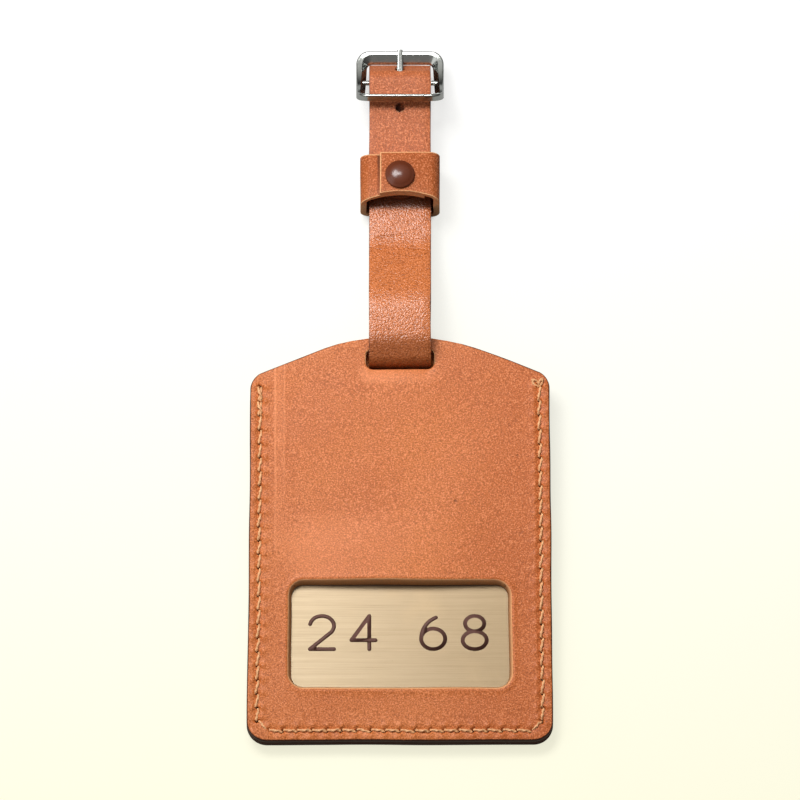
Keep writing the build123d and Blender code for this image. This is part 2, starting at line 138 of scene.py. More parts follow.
def edge_inset(x, y):
    """How far inside the pouch's rounded outline a point lies."""
    x = abs(x)
    half = pouch_width / 2
    apex = shoulder_height + half * math.tan(roof_angle)
    turn = math.pi / 2 - roof_angle
    shoulder_centre = shoulder_height - shoulder_radius * math.tan(turn / 2)
    arcs = [
        (half - bottom_radius, bottom_radius, bottom_radius, -math.pi / 2, 0),
        (half - shoulder_radius, shoulder_centre, shoulder_radius, 0, turn),
        (0, apex - peak_radius / math.cos(roof_angle), peak_radius, turn, math.pi / 2),
    ]
    for right, up, radius, first, last in arcs:
        if first < math.atan2(y - up, x - right) < last:
            return min(half - x, radius - math.hypot(x - right, y - up))
    return min(half - x, y, (apex - y) * math.cos(roof_angle) - x * math.sin(roof_angle))


def cut_distance(x, y):
    """How far a point of the front panel is from the edge of the nearer cutout."""
    gaps = []
    cutouts = ((slot_size, slot_bottom, slot_radius), (window_size, window_bottom, window_radius))
    for size, bottom, radius in cutouts:
        wide = abs(x) - size[0] / 2 + radius
        high = abs(y - bottom - size[1] / 2) - size[1] / 2 + radius
        gaps.append(math.hypot(max(wide, 0), max(high, 0)) - radius)
    return min(gaps)


def rounded_face(mesh, corners):
    """Adds a flat face whose corners, given as x, y and radius, are rounded."""
    places = [Vector((x, y, 0)) for x, y, _ in corners]
    points = [mesh.verts.new(place) for place in places]
    mesh.faces.new(points)
    for index, point in enumerate(points):
        before = places[index - 1] - places[index]
        after = places[(index + 1) % len(places)] - places[index]
        turn = math.pi - before.angle(after)
        bmesh.ops.bevel(
            mesh, geom=[point], offset=corners[index][2] * math.tan(turn / 2), offset_type="OFFSET",
            segments=max(6, round(turn * 12)), profile=0.5, material=-1, affect="VERTICES",
        )


def rectangle(size, bottom, radius):
    """The corners of a rounded rectangle that stands over the middle of the pouch."""
    half, top = size[0] / 2, bottom + size[1]
    return [(-half, bottom, radius), (half, bottom, radius), (half, top, radius), (-half, top, radius)]


def pouch_layer(thickness, rounded, cutouts, cell=0.0015):
    """A closed slab of the pouch's outline on its plane, with its top edges rounded."""
    half = pouch_width / 2
    apex = shoulder_height + half * math.tan(roof_angle)
    slab = bmesh.new()
    rounded_face(slab, [
        (-half, 0, bottom_radius), (half, 0, bottom_radius), (half, shoulder_height, shoulder_radius),
        (0, apex, peak_radius), (-half, shoulder_height, shoulder_radius),
    ])
    for cutout in cutouts:
        rounded_face(slab, cutout)
    bmesh.ops.delete(slab, geom=slab.faces[:], context="FACES_ONLY")
    bmesh.ops.triangle_fill(slab, use_beauty=True, edges=slab.edges[:])
    raised = bmesh.ops.extrude_face_region(slab, geom=slab.faces[:], use_keep_orig=True)["geom"]
    top = [item for item in raised if isinstance(item, bmesh.types.BMVert)]
    bmesh.ops.translate(slab, verts=top, vec=(0, 0, thickness))
    bmesh.ops.recalc_face_normals(slab, faces=slab.faces[:])
    if rounded:
        rim = [
            edge for edge in slab.edges
            if edge.calc_face_angle(0) > 1.0 and min(vert.co.z for vert in edge.verts) > thickness / 2
        ]
        bmesh.ops.bevel(
            slab, geom=rim, offset=edge_round, offset_type="OFFSET", segments=4, profile=0.5,
            material=-1, affect="EDGES", clamp_overlap=False,
        )
    for axis, low, high in ((Vector((1, 0, 0)), -half, half), (Vector((0, 1, 0)), 0, apex)):
        for step in range(1, int((high - low) / cell)):
            bmesh.ops.bisect_plane(
                slab, geom=slab.verts[:] + slab.edges[:] + slab.faces[:], dist=1e-7,
                plane_co=axis * (low + step * cell), plane_no=axis,
            )
    bmesh.ops.triangulate(slab, faces=slab.faces[:])
    return slab


def refine(mesh, near, cuts):
    """Divides the edges whose middle lies in a region."""
    chosen = [edge for edge in mesh.edges if near((edge.verts[0].co + edge.verts[1].co) / 2)]
    bmesh.ops.subdivide_edges(mesh, edges=chosen, cuts=cuts, use_grid_fill=True)
    bmesh.ops.triangulate(mesh, faces=mesh.faces[:])


def bump(distance, reach):
    """A smooth hill: 1 in the middle, near 0 from twice the reach on."""
    return math.exp(-((distance / reach) ** 2))


holes = stitch_holes()
hole_finder = kdtree.KDTree(len(holes))
for index, (spot, heading) in enumerate(holes):
    hole_finder.insert(spot, index)
hole_finder.balance()
seam_groove_depth = 0.00024
hole_depth = 0.00085
hole_slant = 0.55
pucker_height = 0.00028
window_top = window_bottom + window_size[1]
window_bulge = 0.0009
pillow = 0.00025
slot_sink = 0.0005
pouch_taper = 0.018
taper_start, taper_run = 0.012, 0.080
left_fullness, right_fullness = 0.0006, 0.0010


def pit(x, y):
    """1 in the middle of a hole of the seam, which is a slanted slit, and 0 beside it."""
    far_shade_tone = 0.0
    for spot, index, distance in hole_finder.find_range((x, y, 0), 0.0022):
        away, heading = Vector((x, y, 0)) - spot, holes[index][1]
        along, across = away.dot(heading), away.dot(heading.cross(Vector((0, 0, 1))))
        far_shade_tone = max(far_shade_tone, bump(along + across * hole_slant, 0.00034) * bump(across, 0.00062))
    return far_shade_tone


def pressed(x, y):
    """How far the seam pulls the leather's face down at a point of the pouch."""
    near = seam_distance(x, y)
    if near > 0.004:
        return 0.0
    depth = seam_groove_depth * bump(near, 0.0009) + hole_depth * pit(x, y)
    for spot, index, distance in hole_finder.find_range((x, y, 0), 0.003):
        away, heading = Vector((x, y, 0)) - spot, holes[index][1]
        side = abs(away.dot(heading.cross(Vector((0, 0, 1)))))
        depth -= pucker_height * bump(away.dot(heading), 0.0008) * bump(side - 0.0012, 0.0007)
    return depth


def bulge(x, y):
    """How far the front panel stands off the plate at a point: most over the window's top edge."""
    rise = window_bulge * bump(x + 0.002, 0.020) * bump(max(0, y - window_top - 0.002), 0.013)
    if y < window_top:
        rise *= bump(window_top - y, 0.009)
    rise += pillow * (1 - min(1, abs(x) / 0.034) ** 2) * min(1, y / 0.010)
    lip = math.hypot(max(0, abs(x) - 0.006), y - slot_bottom + 0.0002)
    return rise - slot_sink * bump(lip, 0.0016)


def wander(point, size, amount):
    """A slow sideways wander, so that no edge is ruled straight."""
    return noise.noise_vector(point / size) * amount


def by_hand(point):
    """How far hand work has moved a point of the pouch: it narrows a little towards its
    shoulders, and they were cut slightly full, the right one more so."""
    narrowed = pouch_taper * min(1, max(0, (point.y - taper_start) / taper_run))
    beside_slot = 1 - bump(max(0, abs(point.x) - 0.0075), 0.016)
    near_shoulder = 1 - bump(max(0, point.y - 0.074), 0.014)
    fullness = right_fullness if point.x > 0 else left_fullness
    moved = Vector((-point.x * narrowed, fullness * (beside_slot * near_shoulder), 0))
    return wander(Vector((point.x, point.y, 0)), 0.016, 0.00022) + moved


class Wire:
    """A value socket that takes part in plain arithmetic: each operation adds its Math node."""

    def __init__(self, finish, socket):
        self.finish = finish
        self.socket = socket

    def math(self, operation, *others):
        return self.finish.node("ShaderNodeMath", {"operation": operation}, [self, *others])

    def __add__(self, other):
        return self.math("ADD", other)

    def __sub__(self, other):
        return self.math("SUBTRACT", other)

    def __rsub__(self, other):
        return self.math("MULTIPLY_ADD", -1.0, other)

    def __mul__(self, other):
        return self.math("MULTIPLY", other)

    def step(self, low, high):
        """0 below low, 1 above high and a smooth rise between them."""
        values = {"Value": self, "From Min": low, "From Max": high}
        return self.finish.node("ShaderNodeMapRange", {"interpolation_type": "SMOOTHSTEP"}, values)

    __radd__ = __add__
    __rmul__ = __mul__


class Network:
    """A tree of shader nodes."""

    def __init__(self, owner):
        owner.use_nodes = True
        self.tree = owner.node_tree

    def node(self, kind, settings=None, values=(), output=0):
        """Adds a node, sets it and its sockets, and gives back one of its outputs."""
        made = self.tree.nodes.new(kind)
        for setting, value in (settings or {}).items():
            setattr(made, setting, value)
        for key, value in values.items() if isinstance(values, dict) else enumerate(values):
            self.feed(made.inputs[key], value)
        return Wire(self, made.outputs[output])

    def feed(self, socket, value):
        """Links a wire to a socket, or sets the socket to a steady value."""
        if isinstance(value, Wire):
            self.tree.links.new(value.socket, socket)
        elif socket.type == "RGBA" and len(value) == 3:
            socket.default_value = (*value, 1)
        else:
            socket.default_value = value

    def parts(self, vector):
        """The X, Y and Z of a vector."""
        return [self.node("ShaderNodeSeparateXYZ", {}, [vector], output=index) for index in range(3)]


class Finish(Network):
    """A material with one Principled shader, and the nodes that vary it."""

    def __init__(self, name, **steady):
        self.material = bpy.data.materials.new(name)
        super().__init__(self.material)
        self.shader = self.tree.nodes["Principled BSDF"]
        for socket, value in steady.items():
            self.shader.inputs[socket.replace("_", " ")].default_value = value

    def place(self, scale=(1, 1, 1)):
        """Object coordinates, stretched."""
        spot = self.node("ShaderNodeTexCoord", output="Object")
        return self.node("ShaderNodeMapping", {}, {"Vector": spot, "Scale": scale})

    def noise(self, scale, detail=2.0, roughness=0.5, spot=None):
        """A cloudy value round 0.5."""
        values = {"Vector": spot or self.place(), "Scale": scale, "Detail": detail, "Roughness": roughness}
        return self.node("ShaderNodeTexNoise", {}, values)

    def cells(self, scale, spot=None, feature="F1"):
        """The distance to the nearest of many scattered points."""
        values = {"Vector": spot or self.place(), "Scale": scale}
        return self.node("ShaderNodeTexVoronoi", {"feature": feature}, values)

    def mix(self, share, first, second):
        """One colour turning into another."""
        return self.node("ShaderNodeMix", {"data_type": "RGBA"}, {0: share, 6: first, 7: second}, output=2)

    def mark(self, name):
        """The value of a named attribute of the mesh."""
        return self.node("ShaderNodeAttribute", {"attribute_name": name}, output="Fac")

    def relief(self, height, depth):
        """A bump of a height map, its depth in metres."""
        return self.node("ShaderNodeBump", {}, {"Height": height, "Distance": depth})

    def use(self, **links):
        """The material, its shader's sockets fed with these."""
        for socket, value in links.items():
            self.feed(self.shader.inputs[socket.replace("_", " ")], value)
        return self.material


def marks_and_painted_light(hide, marks):
    """How dark, how pale and how proud a leather's creases and scratches are at each point, with
    the painted shade and painted highlights among its marks.
    """
    across, along = hide.mark("across"), hide.mark("along")
    dark, pale, proud = across * 0, across * 0, across * 0
    for (right, low), (end_right, end_low), reach, darkness, height in marks:
        run = Vector((end_right - right, end_low - low))
        pace = run / run.length_squared
        share = (across - right) * pace.x + (along - low) * pace.y
        share = share.math("MAXIMUM", 0.0).math("MINIMUM", 1.0)
        aside, beyond = across - right - share * run.x, along - low - share * run.y
        near = (aside * aside + beyond * beyond).step(reach ** 2, 0.0) * (1 - share * 0.7)
        if darkness > 0:
            dark = dark + near * darkness
        else:
            pale = pale + near * -darkness
        proud = proud + near * height
    return dark, pale, proud


def tanned_leather(name, pale, deep, grain, depth, shine, gloss, marks=()):
    """Cowhide: fine pebbled grain with darker pores, slow patches of tone, painted shade that darkens
    the tone towards the right, and beyond the keeper painted shade in the colour and a duller finish."""
    hide = Finish(name, Specular_IOR_Level=gloss, Coat_Roughness=0.3)
    bent = hide.node("ShaderNodeVectorMath", {"operation": "MULTIPLY_ADD"}, [
        hide.node("ShaderNodeTexNoise", {}, {"Vector": hide.place(), "Scale": 0.3 / grain}, output="Color"),
        (grain * 0.7,) * 3, hide.place(),
    ])
    patches = hide.noise(38.0, detail=3.0)
    clouds = hide.noise(210.0, detail=4.0, roughness=0.6)
    pebbles = hide.cells(1 / grain, spot=bent, feature="SMOOTH_F1")
    pores = hide.cells(0.4 / grain, spot=bent).step(0.16, 0.06) * clouds.step(0.45, 0.65)
    fibre = hide.noise(1.6 / grain, detail=2.0, roughness=0.6)
    speckle = hide.noise(2900.0, detail=2.0, roughness=0.6, spot=bent)
    dark_marks_and_shade, pale_marks_and_highlights, proud = marks_and_painted_light(hide, marks)
    right, beyond, _ = hide.parts(hide.place())
    right_shade_tone = (deep[0] * 0.90, deep[1] * 0.72, deep[2] * 0.60)
    far_shade_tone = (deep[0] * 0.85, deep[1] * 0.70, deep[2] * 0.60)
    tone = hide.mix(patches.step(0.3, 0.7) * 0.5 + clouds * 0.3, deep, pale)
    # Painted shade: the tone darkens towards the right.
    tone = hide.mix(right.step(0.002, 0.038) * 0.6, tone, right_shade_tone)
    # Painted shade: the tone darkens beyond the keeper's rim.
    tone = hide.mix(beyond.step(0.044, 0.058) * 0.55, tone, far_shade_tone)
    tone = hide.mix(speckle.step(0.50, 0.66) * 0.75, tone, [min(1, c * 1.18 + 0.06) for c in pale])
    tone = hide.mix(speckle.step(0.48, 0.34) * 0.75, tone, [c * 0.55 for c in deep])
    tone = hide.mix(pebbles.step(0.40, 0.80) * 0.5, tone, [c * 0.55 for c in deep])
    # Pores, creases, specks and the painted shade among the marks darken the tone.
    tone = hide.mix(pores * 0.5 + dark_marks_and_shade, tone, [c * 0.30 for c in deep])
    # The pale ruled lines and the painted highlights among the marks lighten it.
    tone = hide.mix(pale_marks_and_highlights, tone, [min(1, c * 1.4 + 0.08) for c in pale])
    # Painted shade in the seam's holes: their middles turn near black.
    tone = hide.mix(hide.mark("pit").step(0.20, 0.65) * 0.92, tone, (0.035, 0.010, 0.005))
    raw = (hide.mark("raw") + (fibre - 0.5) * 0.12).step(0.74, 0.90)
    tone = hide.mix(raw * (fibre.step(0.2, 0.8) * 0.3 + 0.6), tone, (0.85, 0.46, 0.22))
    painted = (hide.mark("paint") + (clouds - 0.5) * 0.22).step(0.72, 0.94)
    tone = hide.mix(painted, tone, (0.045, 0.013, 0.008))
    height = pebbles * -0.8 + fibre * 0.2 + clouds * 0.15 - pores * 0.5 + proud
    rough = (1 - shine) + (clouds - 0.5) * 0.12 + raw * 0.3 + pebbles * 0.12 + painted * 0.08
    rough = rough + beyond.step(0.046, 0.056) * 0.32
    return hide.use(
        Base_Color=tone, Roughness=rough, Normal=hide.relief(height, depth), Coat_Weight=(1 - raw) * 0.03,
    )


edge_reach = 0.0015  # how far from an edge its marks reach
# Each mark: from, to, reach, how dark (pale if negative), how proud. On the front: faint ruled
# lines down the left, a few creases and specks, and a painted highlight: a paler patch above
# the window and one under the slot.
front_marks = [
    ((-0.0307, 0.0950), (-0.0303, 0.0480), 0.00042, -0.40, 0.5),
    ((-0.0284, 0.0960), (-0.0283, 0.0600), 0.00036, -0.30, 0.4),
    ((-0.0296, 0.0950), (-0.0294, 0.0500), 0.00120, -0.12, 0.0),
    ((-0.0138, 0.0605), (-0.0126, 0.0592), 0.00030, 0.45, -1.0),
    ((-0.0090, 0.0560), (-0.0082, 0.0571), 0.00018, 0.35, -0.6),
    ((0.0135, 0.0604), (0.0139, 0.0603), 0.00045, 0.80, -1.0),
    ((0.0288, 0.0721), (0.0289, 0.0719), 0.00035, 0.80, -1.0),
    ((0.0210, 0.0850), (0.0222, 0.0838), 0.00016, 0.30, -0.5),
    ((-0.0200, 0.0480), (0.0050, 0.0500), 0.01100, -0.22, 0.0),
    ((-0.0075, 0.0928), (0.0075, 0.0928), 0.00320, -0.34, 0.0),
]
pouch_pale, pouch_deep = (0.65, 0.198, 0.050), (0.50, 0.126, 0.028)
front_tan = tanned_leather("front_tan", pouch_pale, pouch_deep, 0.00029, 0.00008, 0.58, 0.22, front_marks)
back_tan = tanned_leather("back_tan", pouch_pale, pouch_deep, 0.00029, 0.00008, 0.58, 0.22)


def piece(mesh, name, body, materials, replaced=(), matrix=None):
    """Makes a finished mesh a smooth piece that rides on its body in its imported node's place."""
    if matrix:
        bmesh.ops.transform(mesh, matrix=matrix, verts=mesh.verts[:])
    data = bpy.data.meshes.new(name)
    mesh.to_mesh(data)
    mesh.free()
    data.polygons.foreach_set("use_smooth", [True] * len(data.polygons))
    made = bpy.data.objects.new(name, data)
    bpy.context.scene.collection.objects.link(made)
    for material in materials:
        data.materials.append(material)
    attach(made, body)
    if replaced:
        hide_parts(*replaced)
    return made


def mark_pouch(mesh, cut_edges):
    """Marks the painted rim, the cutouts' raw edges and the seam's holes, before the mesh is bent."""
    names = ("paint", "raw", "pit", "across", "along")
    layers = {name: mesh.verts.layers.float.new(name) for name in names}
    for vert in mesh.verts:
        x, y, z = vert.co
        vert[layers["across"]], vert[layers["along"]] = x, y
        vert[layers["paint"]] = max(0, 1 - edge_inset(x, y) / edge_reach)
        vert[layers["raw"]] = max(0, 1 - cut_distance(x, y) / edge_reach) if cut_edges else 0
        vert[layers["pit"]] = pit(x, y) if z > panel_thickness / 2 else 0


upper_side = 0.001  # the height over which a layer's points belong to its upper face
seam_zone, slot_zone, cut_zone = 0.0022, 0.0045, 0.002  # how far round each the mesh is finer
slot_wear = 0.0005  # how far the strap has worn the slot's lower edge down
cut_lean = 0.0006
lip_height = 0.00016
window_middle = window_bottom + window_size[1] / 2
front = pouch_layer(
    panel_thickness, rounded=True,
    cutouts=[
        rectangle((slot_size[0], slot_size[1] + slot_wear), slot_bottom - slot_wear, slot_radius),
        rectangle(window_size, window_bottom, window_radius),
    ],
)
refine(front, lambda at: at.z > upper_side and seam_distance(at.x, at.y) < seam_zone, 5)
refine(front, lambda at: math.hypot(max(0, abs(at.x) - 0.008), at.y - slot_bottom - 0.002) < slot_zone, 1)
refine(front, lambda at: at.z > upper_side and cut_distance(at.x, at.y) < cut_zone, 2)
mark_pouch(front, True)
for vert in front.verts:
    x, y, z = vert.co
    on_top = z > panel_thickness / 2
    lifted = bulge(x, y)
    by_window = y < window_top + 0.003 and bump(cut_distance(x, y), 0.0009)
    if on_top:
        lip = lip_height * bump(cut_distance(x, y) - 0.0008, 0.0005) * (by_window > 0)
        vert.co.z += lip - pressed(x, y)
    else:
        lifted *= 0.25 if y > window_bottom + 0.02 else 1
        vert.co.x -= math.copysign(cut_lean, x) * by_window * (abs(x) > window_size[0] / 2 - 0.001)
        vert.co.y -= (
            math.copysign(cut_lean, y - window_middle) * by_window
            * (abs(y - window_middle) > window_size[1] / 2 - 0.001)
        )
    vert.co.z += lifted + panel_thickness + welt_thickness
    vert.co += by_hand(Vector((x, y, 0)))
piece(front, "front_leather", "pouch", [front_tan], ["front_panel"], pouch_place)

# ---------------------------------------------------------------------------------------------
# Back panel: the same hide, plain but for the slot, with its smooth side out at the back and
# the seam's groove round it.
# ---------------------------------------------------------------------------------------------
back_slot_size = (0.0153, slot_size[1])
back_slot = rectangle(back_slot_size, slot_bottom, slot_radius)
back = pouch_layer(panel_thickness, rounded=True, cutouts=[back_slot])
refine(back, lambda at: at.z > upper_side and seam_distance(at.x, at.y) < seam_zone, 3)
mark_pouch(back, False)
for vert in back.verts:
    x, y, z = vert.co
    if z > panel_thickness / 2:
        vert.co.z = min(panel_thickness, z - pressed(x, y))
    vert.co.z = panel_thickness - vert.co.z
    vert.co += by_hand(Vector((x, y, 0)))
bmesh.ops.reverse_faces(back, faces=back.faces[:])
piece(back, "back_leather", "pouch", [back_tan], ["back_panel"], pouch_place)

# ---------------------------------------------------------------------------------------------
# Welt: a strip of the same leather glued and sewn between the panels down both sides and along
# the bottom, so that the plate has room. Its edge is painted with theirs.
# ---------------------------------------------------------------------------------------------
welt_width = 0.0055
pocket = pouch_width / 2 - welt_width
welt_top = shoulder_height + 0.004
welt = pouch_layer(welt_thickness, rounded=False, cutouts=[], cell=0.003)
for side, bottom in ((pocket, welt_width), (math.inf, welt_top)):
    middles = [(face, face.calc_center_median()) for face in welt.faces]
    inside = [face for face, at in middles if abs(at.x) < side and at.y > bottom]
    bmesh.ops.delete(welt, geom=inside, context="FACES")
edge_paint = Finish("edge_paint", Specular_IOR_Level=0.2)
paint_grain = edge_paint.noise(900.0, detail=3.0)
edge_brown = edge_paint.use(
    Base_Color=edge_paint.mix(paint_grain, (0.042, 0.013, 0.008), (0.090, 0.027, 0.016)),
    Roughness=paint_grain * 0.3 + 0.55, Normal=edge_paint.relief(paint_grain, 0.00012),
)
for vert in welt.verts:
    vert.co += by_hand(vert.co) + Vector((0, 0, panel_thickness))
piece(welt, "welt_edge", "pouch", [edge_brown], ["edge_welt"], pouch_place)

# ---------------------------------------------------------------------------------------------
# Seam: waxed two-ply linen thread, back-stitched at the start and left in small loose loops at
# the end. Each stitch dives into the leather at both of its holes.
# ---------------------------------------------------------------------------------------------
thread_radius = 0.00044
thread_sides = 8
thread_twist = math.pi / 3.6
stitch_rise = 0.00040
stitch_slant = 0.00034
row_wave = 0.00030
up = Vector((0, 0, 1))


def thread(mesh, points, radius=thread_radius):
    """A length of twisted two-ply thread along a line of points."""
    rings = []
    for index, here in enumerate(points):
        heading = (points[min(index + 1, len(points) - 1)] - points[max(index - 1, 0)]).normalized()
        side = heading.cross(up).normalized()
        lift = side.cross(heading)
        turn = Matrix.Rotation(thread_twist * index, 2)
        ring = []
        for corner in range(thread_sides):
            angle = 2 * math.pi * corner / thread_sides
            out = turn @ Vector((math.cos(angle), math.sin(angle) * 0.7)) * radius
            ring.append(mesh.verts.new(here + side * out.x + lift * out.y))
        rings.append(ring)
    for first, second in zip(rings, rings[1:]):
        for corner in range(thread_sides):
            after = (corner + 1) % thread_sides
            mesh.faces.new((first[corner], first[after], second[after], second[corner]))
    mesh.faces.new(rings[0])
    mesh.faces.new(rings[-1][::-1])


def arch(start, end, rise, wave=0.0, steps=9):
    """Points of a stitch that rises from one hole and dives into the next, with a sideways wave."""
    run = end - start
    across = run.cross(up).normalized()
    shares = [step / steps for step in range(steps + 1)]
    return [
        start + run * share + up * rise * math.sin(math.pi * share) ** 0.7
        + across * wave * math.sin(2 * math.pi * share) for share in shares
    ]


linen = Finish("linen_thread")
ply = linen.noise(2400.0, detail=3.0)
wax = linen.noise(300.0)
thread_tan = linen.use(
    Base_Color=linen.mix(ply, (0.62, 0.25, 0.090), (0.95, 0.54, 0.26)),
    Roughness=0.38 + wax * 0.2, Normal=linen.relief(ply, 0.0001),
)
seam = bmesh.new()
back_height = seam_groove_depth + 0.00018


def seam_face(spot, sunk=0.00024):
    """A place of the seam, a little below the front panel's face."""
    return spot + up * (pouch_thickness + bulge(spot.x, spot.y) - seam_groove_depth - sunk)


for index, ((start, heading), (end, _)) in enumerate(zip(holes, holes[1:])):
    across = heading.cross(up)
    uneven = noise.noise_vector(Vector((index * 1.7, 0, 0)))
    in_row = abs(heading.x) > 0.9
    begin = start - across * stitch_slant + heading * (0.00015 + uneven.x * 0.00025)
    finish = end + across * (stitch_slant + uneven.y * 0.0002) - heading * 0.0001
    wave = row_wave * (0.4 + uneven.z) if in_row else uneven.z * 0.00015
    thread(seam, arch(seam_face(begin), seam_face(finish), stitch_rise + uneven.z * 0.00022, wave))
    thread(seam, arch(start + up * back_height, end + up * back_height, -0.0003))
for index, lift in ((0, 0.00040), (1, 0.00032)):
    (start, heading), (end, _) = holes[index], holes[index + 1]
    aside = heading.cross(up) * 0.00045
    thread(seam, arch(seam_face(start + aside), seam_face(end - aside * 0.4), stitch_rise + lift, 0.0002))
last, heading = holes[-1]
for size, lean, lift in ((0.0011, 2.5, 0.0007), (0.0008, 1.2, 0.0010)):
    away = Vector((math.cos(lean), math.sin(lean), 0))
    aside = away.cross(up)
    loop = [math.pi * 2 * step / 16 for step in range(17)]
    thread(seam, [
        seam_face(last) + away * size * (1 - math.cos(turn)) + aside * size * 0.45 * math.sin(turn)
        + up * lift * math.sin(turn / 2) for turn in loop
    ], thread_radius * 0.85)
for vert in seam.verts:
    vert.co += by_hand(vert.co)
bmesh.ops.recalc_face_normals(seam, faces=seam.faces[:])
piece(seam, "seam_thread", "pouch", [thread_tan], ["panel_stitches"], pouch_place)

# ---------------------------------------------------------------------------------------------
# Name plate: a sheet of brass, brushed from side to side, with a plain number cut in it and the
# cut filled with brown paint. It slides between the panels.
# ---------------------------------------------------------------------------------------------
plate_low = 0.0016
plate_thickness = 0.0008
plate_size = (0.0618, 0.0430)
plate_bottom = 0.0056
plate_radius = 0.0020
digit_height = 0.0084
digit_width = 0.0058
digit_stroke = 0.00050
digit_bottom = 0.0236
digit_places = {"2": -0.0217, "4": -0.0117, "6": 0.0051, "8": 0.0151}


def arc(x, y, wide, high, first, last, steps=14):
    """Points on an arc, its angles in degrees."""
    angles = [math.radians(first + (last - first) * step / steps) for step in range(steps + 1)]
    return [(x + wide * math.cos(angle), y + high * math.sin(angle)) for angle in angles]


digit_strokes = {
    "2": [arc(0.5, 0.70, 0.5, 0.30, 170, -38) + [(0.0, 0.0)], [(0.0, 0.0), (1.0, 0.0)]],
    "4": [[(0.74, 0.0), (0.74, 1.0)], [(0.74, 1.0), (0.0, 0.27)], [(0.0, 0.27), (1.0, 0.27)]],
    "6": [arc(0.5, 0.31, 0.5, 0.31, 0, 360, 24), arc(0.98, 0.31, 0.98, 0.69, 180, 112)],
    "8": [arc(0.5, 0.77, 0.4, 0.23, -90, 270, 24), arc(0.5, 0.27, 0.5, 0.27, -270, 90, 24)],
}


def digit_tubes():
    """The path of the engraver's cutter, as flattened round-ended tubes on the plate's face."""
    cut = bmesh.new()
    for digit, left in digit_places.items():
        for stroke in digit_strokes[digit]:
            points = [Vector((left + x * digit_width, digit_bottom + y * digit_height, 0)) for x, y in stroke]
            for start, end in zip(points, points[1:]):
                run = end - start
                tube = bmesh.ops.create_cone(
                    cut, cap_ends=True, segments=16, radius1=digit_stroke, radius2=digit_stroke,
                    depth=run.length,
                )["verts"]
                turn = run.to_track_quat("Z", "Y").to_matrix().to_4x4()
                bmesh.ops.transform(cut, matrix=Matrix.Translation((start + end) / 2) @ turn, verts=tube)
            for point in points:
                ball = bmesh.ops.create_uvsphere(cut, u_segments=16, v_segments=8, radius=digit_stroke)
                bmesh.ops.translate(cut, verts=ball["verts"], vec=point)
    return cut


def fused(mesh, name, voxel):
    """One closed skin round everything in a mesh."""
    data = bpy.data.meshes.new(name)
    mesh.to_mesh(data)
    mesh.free()
    rough = bpy.data.objects.new(name, data)
    bpy.context.scene.collection.objects.link(rough)
    remesh = rough.modifiers.new("fuse", "REMESH")
    remesh.mode, remesh.voxel_size = "VOXEL", voxel
    bpy.context.view_layer.update()
    solid = bmesh.new()
    solid.from_object(rough, bpy.context.evaluated_depsgraph_get())
    bpy.data.objects.remove(rough)
    return solid


number_cut = fused(digit_tubes(), "number_cut", 0.00009)
bmesh.ops.smooth_vert(
    number_cut, verts=number_cut.verts[:], factor=0.5, use_axis_x=True, use_axis_y=True, use_axis_z=True,
)
bmesh.ops.scale(number_cut, verts=number_cut.verts[:], vec=(1, 1, 0.42))
number_fill = number_cut.copy()
plate_face = Vector((0, 0, plate_low + plate_thickness))
bmesh.ops.translate(number_cut, verts=number_cut.verts[:], vec=plate_face)
cutter_data = bpy.data.meshes.new("cutter")
number_cut.to_mesh(cutter_data)
number_cut.free()
cutter = bpy.data.objects.new("cutter", cutter_data)
bpy.context.scene.collection.objects.link(cutter)
sheet = bmesh.new()
rounded_face(sheet, rectangle(plate_size, plate_bottom, plate_radius))
raised = bmesh.ops.extrude_face_region(sheet, geom=sheet.faces[:], use_keep_orig=True)["geom"]
top = [item for item in raised if isinstance(item, bmesh.types.BMVert)]
bmesh.ops.translate(sheet, verts=top, vec=(0, 0, plate_thickness))
bmesh.ops.translate(sheet, verts=sheet.verts[:], vec=(0, 0, plate_low))
bmesh.ops.recalc_face_normals(sheet, faces=sheet.faces[:])
bmesh.ops.bevel(
    sheet, geom=[edge for edge in sheet.edges if edge.calc_face_angle(0) > 1.0], offset=0.00012,
    offset_type="OFFSET", segments=2, profile=0.5, material=-1, affect="EDGES",
)
sheet_data = bpy.data.meshes.new("sheet")
sheet.to_mesh(sheet_data)
sheet.free()
blank = bpy.data.objects.new("blank", sheet_data)
bpy.context.scene.collection.objects.link(blank)
engrave = blank.modifiers.new("engrave", "BOOLEAN")
engrave.operation, engrave.object, engrave.solver = "DIFFERENCE", cutter, "EXACT"
bpy.context.view_layer.update()
engraved = bmesh.new()
engraved.from_object(blank, bpy.context.evaluated_depsgraph_get())
bpy.data.objects.remove(blank)
bpy.data.objects.remove(cutter)

brass = Finish("brushed_brass", Metallic=1.0)
hairs = brass.noise(1.0, detail=4.0, roughness=0.7, spot=brass.place(scale=(60, 9000, 9000)))
streaks = brass.noise(1.0, detail=3.0, spot=brass.place(scale=(12, 2200, 2200)))
tarnish = brass.noise(70.0, detail=4.0)
specks = brass.cells(420.0).step(0.10, 0.06) * brass.noise(160.0).step(0.62, 0.70)
right, beyond, _ = brass.parts(brass.place())
